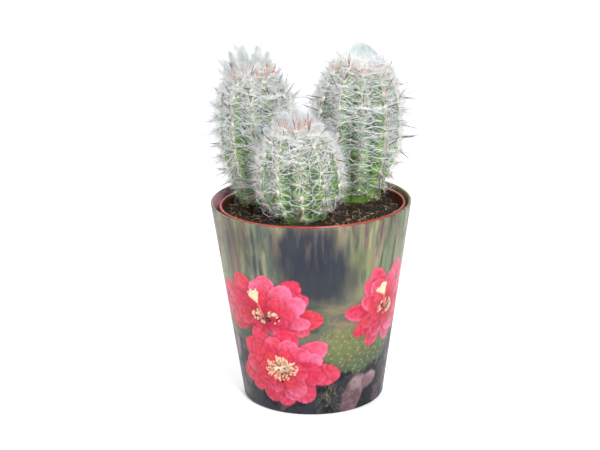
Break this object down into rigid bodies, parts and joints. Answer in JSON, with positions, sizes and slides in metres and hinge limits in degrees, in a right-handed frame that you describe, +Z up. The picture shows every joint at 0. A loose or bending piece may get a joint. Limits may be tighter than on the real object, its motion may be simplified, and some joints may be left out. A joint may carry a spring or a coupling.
{
  "type": "potted cactus",
  "caption": "Free-standing potted cactus: woolly ribbed stems in soil, in a nursery pot inside a tapered cover pot printed with flowers.",
  "frame": {"origin": "centre of the cover pot's underside, on the surface that it stands on", "axes": "+Z up, -Y towards the front, where the short stem is, +X to the right"},
  "size_m": [0.122, 0.114, 0.2009],
  "materials": {
    "printed_plastic": "satin plastic with an all-round print of red cactus flowers on blurred dark greens",
    "terracotta_plastic": "semi-gloss terracotta-red moulded plastic",
    "peat": "dark, crumbly, moist peat compost",
    "cactus_skin": "waxy mid-green skin, slightly glossy",
    "cactus_wool": "white wool and hair",
    "cactus_spines": "horny spines, red-brown to cream, on cream woolly pads"
  },
  "bodies": {
    "root": {"printed_cover_pot": "printed_plastic", "nursery_pot": "terracotta_plastic", "soil": "peat", "left_stem": "cactus_skin", "right_stem": "cactus_skin", "front_stem": "cactus_skin", "left_crown_wool": "cactus_wool", "right_crown_wool": "cactus_wool", "front_crown_wool": "cactus_wool", "left_spines_01": "cactus_spines", "left_spines_02": "cactus_spines", "left_spines_03": "cactus_spines", "left_spines_04": "cactus_spines", "left_spines_05": "cactus_spines", "left_spines_06": "cactus_spines", "left_spines_07": "cactus_spines", "left_spines_08": "cactus_spines", "left_spines_09": "cactus_spines", "left_spines_10": "cactus_spines", "left_spines_11": "cactus_spines", "right_spines_01": "cactus_spines", "right_spines_02": "cactus_spines", "right_spines_03": "cactus_spines", "right_spines_04": "cactus_spines", "right_spines_05": "cactus_spines", "right_spines_06": "cactus_spines", "right_spines_07": "cactus_spines", "right_spines_08": "cactus_spines", "right_spines_09": "cactus_spines", "right_spines_10": "cactus_spines", "right_spines_11": "cactus_spines", "front_spines_01": "cactus_spines", "front_spines_02": "cactus_spines", "front_spines_03": "cactus_spines", "front_spines_04": "cactus_spines", "front_spines_05": "cactus_spines", "front_spines_06": "cactus_spines", "front_spines_07": "cactus_spines", "front_spines_08": "cactus_spines", "front_spines_09": "cactus_spines", "front_spines_10": "cactus_spines", "front_spines_11": "cactus_spines"}
  },
  "joints": []
}
